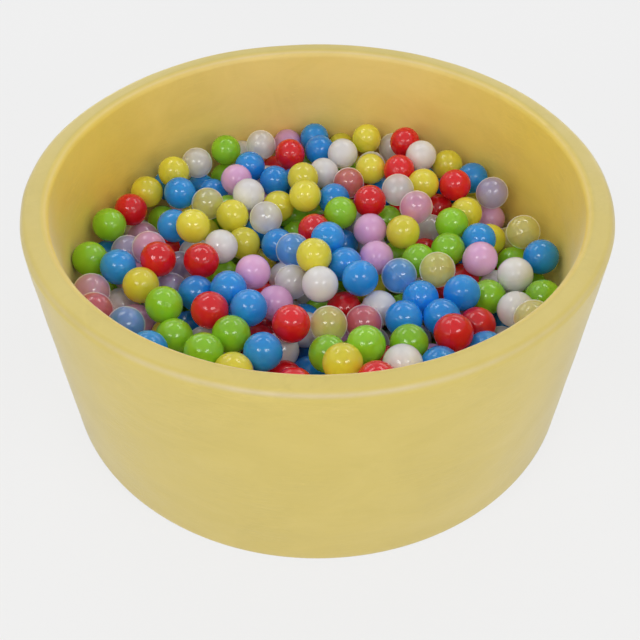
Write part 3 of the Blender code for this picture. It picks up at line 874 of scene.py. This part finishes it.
def make_underside():
    """The non-slip cloth underneath, with its edge turned in."""
    bpy.ops.mesh.primitive_cylinder_add(
        vertices=UNDERSIDE_SIDES, radius=UNDERSIDE_RADIUS, depth=UNDERSIDE_THICKNESS,
        location=(0, 0, UNDERSIDE_THICKNESS / 2),
    )
    cloth = newest("grip_underside")
    pick(cloth, "EDGE", lambda ends: abs(ends[0].z - ends[1].z) < 0.0001)
    bpy.ops.mesh.bevel(offset=UNDERSIDE_ROUNDING, segments=2, profile=0.5)
    done()
    pick(cloth, "FACE", lambda corners: all(corner.z < 0.0001 for corner in corners))
    bpy.ops.mesh.inset(thickness=HEM_WIDTH)
    for depth in (HEM_DEPTH, -HEM_DEPTH):
        bpy.ops.mesh.inset(thickness=HEM_LINE)
        bpy.ops.transform.translate(value=(0, 0, depth))
    bpy.ops.mesh.inset(thickness=UNDERSIDE_MIDDLE)
    done()
    smooth(cloth, 30)
    dress(cloth, GRIP)
    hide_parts("bottom_cover")
    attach(cloth, "pit")


def on_wall(angle, radius, level):
    """The frame of a small piece on the wall: X out, Y along the wall, Z up."""
    turn = Matrix.Rotation(angle, 4, "Z")
    return turn @ Matrix.Translation((radius, 0, level))


def make_tooth(name, way):
    """One tooth, which narrows to a neck and a rounder tip on the side of the other row."""
    bpy.ops.mesh.primitive_cube_add(size=1)
    bpy.context.object.scale = TOOTH_SIZE
    tooth = newest(f"tooth_{name}")
    pick(tooth, "FACE", lambda corners: all(corner.z * way < 0 for corner in corners))
    for length, width in ((TOOTH_NECK, (1.1, 1.35, 1)), (TOOTH_TIP, (0.8, 0.7, 1))):
        bpy.ops.mesh.extrude_region_move(TRANSFORM_OT_translate={"value": (0, 0, -length * way)})
        bpy.ops.transform.resize(value=width)
    done()
    smooth(tooth, 40)
    return tooth


def make_teeth():
    """Two rows of teeth that lock into each other, in place of the plain coils."""
    count = int(radians(ZIP_LAST - ZIP_FIRST) * TEETH_FACE / TEETH_PITCH)
    for name, way in (("upper", 1), ("lower", -1)):
        tooth = make_tooth(name, way)
        shift = TEETH_PITCH / 4 if way > 0 else TEETH_PITCH * 3 / 4
        teeth = []
        for number in range(count):
            angle = radians(ZIP_FIRST) + (number * TEETH_PITCH + shift) / TEETH_FACE
            place = on_wall(angle, TEETH_FACE + TEETH_PROUD, ZIP_LINE + way * TEETH_RISE)
            teeth.append(copy_at(tooth, place, f"tooth_{name}_{number}"))
        bpy.data.objects.remove(tooth, do_unlink=True)
        row = joined(teeth, f"zip_teeth_{name}")
        dress(row, TEETH)
        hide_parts(f"zip_coil_{name}")
        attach(row, "pit")


def make_stitches():
    """Two rows of stitches over the window."""
    bpy.ops.mesh.primitive_cylinder_add(
        vertices=8, radius=STITCH_RADIUS, depth=STITCH_LENGTH, rotation=(pi / 2, 0, 0)
    )
    stitch = newest("stitch")
    pick(stitch, "FACE", lambda corners: len(corners) > 4)
    bpy.ops.mesh.extrude_region_move(TRANSFORM_OT_translate={"value": (0, 0, 0)})
    bpy.ops.transform.resize(value=(0.6, 1.15, 0.6))
    done()
    smooth(stitch, 60)
    stitches = []
    count = int(radians(WINDOW_LAST - WINDOW_FIRST) * OUTER_RADIUS / STITCH_SPACING)
    for number in range(count):
        angle = radians(WINDOW_FIRST) + (number + 0.5) * STITCH_SPACING / OUTER_RADIUS
        for rise in STITCH_ROWS:
            place = on_wall(angle, OUTER_RADIUS + STITCH_PROUD, WINDOW_TOP + rise)
            stitches.append(copy_at(stitch, place, f"stitch_{number}"))
    bpy.data.objects.remove(stitch, do_unlink=True)
    row = joined(stitches, "zip_stitching")
    dress(row, THREAD)
    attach(row, "pit")


def finish_zip():
    """The CAD model's own tapes, stops, slider and pull get their cloth and metal."""
    for node in ("zip_tape_upper", "zip_tape_lower"):
        dress(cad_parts[node], TAPE)
    for node in ("zip_stop_first", "zip_stop_last", "zip_slider", "zip_pull"):
        dress(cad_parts[node], NICKEL)


def settled(pixels, layers, loose):
    """Where the balls lie: each starts on its line of sight and gives way until none overlap."""
    eye = OUTER_RADIUS * np.array([0.0, -EYE_BACK, EYE_UP])
    forward = np.array([0.0, cos(VIEW_PITCH), -sin(VIEW_PITCH)])
    right = np.array([1.0, 0.0, 0.0])
    up = np.cross(right, forward)
    across = (pixels[:, :1] - CENTRE_ACROSS) / FOCAL_PIXELS
    down = (pixels[:, 1:] - CENTRE_DOWN) / FOCAL_PIXELS
    lines = forward + right * across - up * down
    heights = BED_HEIGHT - BALL_RADIUS * np.array(LAYER_DROPS)[layers]
    centres = eye + lines * ((heights - eye[2]) / lines[:, 2])[:, None]
    home = centres.copy()
    lines /= np.linalg.norm(lines, axis=1)[:, None]
    one, other = np.triu_indices(len(centres), 1)
    apart = 2 * BALL_RADIUS + BALL_GAP
    clear_above = 2 * BALL_RADIUS + LIFT_GAP
    reach = INNER_RADIUS - BALL_RADIUS - BALL_GAP

    def along(vectors):
        return (vectors * lines).sum(axis=1)[:, None] * lines

    for step in range(SETTLE_STEPS):
        between = centres[one] - centres[other]
        distance = np.linalg.norm(between, axis=1)
        close = distance < apart
        push = between[close] * ((apart - distance[close]) / distance[close] / 2)[:, None]
        move = np.zeros_like(centres)
        np.add.at(move, one[close], push)
        np.add.at(move, other[close], -push)
        if step < GUIDED_STEPS:
            forth = along(move)
            centres = centres + forth + SIDE_SHARE * (move - forth)
            back = home - centres
            deep = along(back)
            centres = centres + HOME_PULL * (back - deep) + DEPTH_PULL * deep
        else:
            centres = centres + move
            level = np.hypot(between[:, 0], between[:, 1])
            covers = (loose[one] & (between[:, 2] < 0)) | (loose[other] & (between[:, 2] > 0))
            covers &= level < clear_above
            share = (clear_above - level[covers]) / level[covers] / 2
            push = between[covers, :2] * share[:, None]
            np.add.at(centres[:, :2], one[covers], push)
            np.add.at(centres[:, :2], other[covers], -push)
        radius = np.hypot(centres[:, 0], centres[:, 1])
        centres[:, :2] *= np.minimum(1, reach / radius)[:, None]
    return centres


def filled(placed, highest, lowest, step):
    """Places for more balls between two levels, the highest first, none nearer than two radii."""
    reach = INNER_RADIUS - BALL_RADIUS - BALL_GAP
    side = np.arange(-reach, reach, step)
    levels = np.arange(highest, lowest, -step)
    x, y, z = (axis.ravel() for axis in np.meshgrid(side, side, levels))
    free = np.column_stack([x, y, z])[np.hypot(x, y) <= reach]
    free = free[np.random.default_rng(FILL_SEED).permutation(len(free))]
    free = free[np.argsort(-free[:, 2], kind="stable")]
    for centre in placed:
        free = free[np.linalg.norm(free - centre, axis=1) >= 2 * BALL_RADIUS]
    places = []
    while len(free):
        places.append(free[0])
        free = free[np.linalg.norm(free - free[0], axis=1) >= 2 * BALL_RADIUS]
    return places


def ball_model(name, around, rings, with_seam):
    """A ball as it leaves its mould, with a fine parting line and a pinched gate at one pole."""
    bpy.ops.mesh.primitive_uv_sphere_add(segments=around, ring_count=rings, radius=BALL_RADIUS)
    ball = newest(name)
    if with_seam:
        pick(ball, "EDGE", lambda ends: all(abs(end.z) < 0.00001 for end in ends))
        bpy.ops.mesh.bevel(offset=SEAM_WIDTH, segments=2, profile=0.5)
        done()
        pick(ball, "VERT", lambda ends: abs(ends[0].z) < 0.00001)
        bpy.ops.transform.resize(value=(SEAM_RISE, SEAM_RISE, 1), center_override=(0, 0, 0))
        done()
        pick(ball, "VERT", lambda ends: ends[0].z > BALL_RADIUS - 0.00001)
        bpy.ops.transform.translate(value=(0, 0, -GATE_DEPTH))
        done()
    smooth(ball, 60)
    return ball


def make_balls():
    """The loose balls at their nodes' places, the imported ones, and more that fill the bed."""
    pixels = []
    names = []
    for colour, places in LOOSE_BALLS.items():
        names += [f"{colour}_ball_{number}" for number in range(1, len(places) + 1)]
        pixels += places
    count = len(pixels)
    layers = [0] * count
    colours = [name.split("_")[0] for name in names]
    for layer, table in enumerate((TOP_BALLS, SECOND_BALLS, THIRD_BALLS)):
        for colour, places in table.items():
            pixels += places
            layers += [layer] * len(places)
            colours += [colour] * len(places)
    loose = np.arange(len(pixels)) < count
    centres = settled(np.array(pixels, float), np.array(layers), loose)
    turns = np.random.default_rng(TURN_SEED)

    def placed(model, centre, name):
        turn = Euler(turns.uniform(0, 2 * pi, 3)).to_matrix().to_4x4()
        return copy_at(model, Matrix.Translation(centre) @ turn, name)

    fine = ball_model("fine_ball", *FINE_BALL, True)
    plain = ball_model("plain_ball", *PLAIN_BALL, False)
    bpy.ops.mesh.primitive_ico_sphere_add(subdivisions=2, radius=BALL_RADIUS)
    deep = newest("deep_ball")
    smooth(deep, 60)
    # Each clear ball's painted see-through colour, by the pixel where its centre was read
    see_through_paint_at = {spot: see_through_paint for see_through_paint, spots in SEE_THROUGH_PAINTED_BALLS.items() for spot in spots}

    def plastic_of(number):
        if colours[number] == "clear":
            return CLEAR[see_through_paint_at.get(pixels[number], "pearl")]
        return PLASTICS[colours[number]]

    for number, (name, colour) in enumerate(zip(names, colours)):
        low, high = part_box(name)
        ball = placed(fine, (low + high) / 2, f"play_{name}")
        dress(ball, plastic_of(number))
        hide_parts(name)
        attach(ball, name)
    groups = {colour: [] for colour in [*BALL_COLOURS, "clear"]}
    for number in range(count, len(centres)):
        ball = placed(plain, centres[number], f"packed_{number}")
        dress(ball, plastic_of(number))
        groups[colours[number]].append(ball)
    mixture = list(BALL_COLOURS)
    highest = BED_HEIGHT - BALL_RADIUS * DEEP_DROP
    middle = SLAB_LEVEL - BALL_RADIUS
    under = filled(centres, highest, middle, UNDER_STEP)
    hidden = filled([*centres, *under], middle, FLOOR_TOP + BALL_RADIUS, HIDDEN_STEP)
    for number, place in enumerate(under + hidden):
        colour = mixture[number * 5 % len(mixture)]
        ball = placed(plain if place[2] > ROUGH_BELOW else deep, place, f"deep_{number}")
        dress(ball, PLASTICS[colour])
        groups[colour].append(ball)
    for model in (fine, plain, deep):
        bpy.data.objects.remove(model, do_unlink=True)
    for colour, balls in groups.items():
        heap = joined(balls, f"packed_{colour}_balls")
        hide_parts("packed_balls")
        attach(heap, "pit")


def make_floor():
    """A plain pale floor, which fades into the backdrop further off."""
    bpy.ops.mesh.primitive_plane_add(size=FLOOR_SIZE, location=(0, 0, -FLOOR_DROP))
    floor = newest("studio_floor")
    finish = Finish("studio_floor")
    seen = seen_directly(finish.node("ShaderNodeLightPath"))
    card = finish.surface(Base_Color=FLOOR_TONE, Roughness=0.9)
    glow = finish.node("ShaderNodeEmission", Color=(1, 1, 1, 1), Strength=PALE)
    along, across, _ = finish.parts(finish.place())
    distance = (along ** 2 + across ** 2) ** 0.5
    share = finish.span(distance, FADE_FROM, FADE_TO, FLOOR_SHARE, 1.0)
    dress(floor, finish.close(finish.layer(seen * share, card, glow)))


def make_backdrop():
    """A pale backdrop to the eye and, to the pit, a soft light that is stronger from below."""
    world = bpy.data.worlds.new("studio")
    bpy.context.scene.world = world
    world.use_nodes = True
    tree = world.node_tree
    back = tree.nodes["Background"]
    back.inputs["Color"].default_value = (1, 1, 1, 1)
    paths = tree.nodes.new("ShaderNodeLightPath")
    seen = seen_directly(Wire(tree, paths.outputs["Is Camera Ray"]))
    direction = tree.nodes.new("ShaderNodeTexCoord")
    split = tree.nodes.new("ShaderNodeSeparateXYZ")
    tree.links.new(direction.outputs["Generated"], split.inputs[0])
    lift = Wire(tree, split.outputs["Z"])
    light = AMBIENT - lift * AMBIENT_TILT
    strength = seen * PALE + (1.0 - seen) * light
    tree.links.new(strength.socket, back.inputs["Strength"])


def make_panels():
    """The soft panels, each with its pair on the other side."""
    aim = Vector((0, 0, BED_HEIGHT))
    for name, way, width, depth, power in PANELS:
        for side in (-1, 1):
            light = bpy.data.lights.new(f"{name}_{side}", "AREA")
            light.shape = "RECTANGLE"
            light.size = width
            light.size_y = depth
            light.energy = power
            lamp = bpy.data.objects.new(f"{name}_{side}", light)
            bpy.context.collection.objects.link(lamp)
            lamp.location = aim + Vector((way[0] * side, way[1], way[2])) * PANEL_DISTANCE
            lamp.rotation_euler = (aim - lamp.location).to_track_quat("-Z", "Y").to_euler()


def make_camera():
    """The view from which the photograph was taken."""
    lens = bpy.data.cameras.new("photo_view")
    lens.sensor_width = SENSOR
    lens.lens = FOCAL_PIXELS / PICTURE * SENSOR
    lens.shift_x = (PICTURE / 2 - CENTRE_ACROSS) / PICTURE
    camera = bpy.data.objects.new("photo_view", lens)
    bpy.context.collection.objects.link(camera)
    camera.location = OUTER_RADIUS * Vector((0, -EYE_BACK, EYE_UP))
    camera.rotation_euler = (pi / 2 - VIEW_PITCH, 0, 0)
    bpy.context.scene.camera = camera


make_camera()
make_cover()
make_floor_pad()
make_underside()
make_teeth()
make_stitches()
finish_zip()
make_balls()
make_floor()
make_backdrop()
make_panels()
bpy.context.scene.view_settings.view_transform = "Standard"
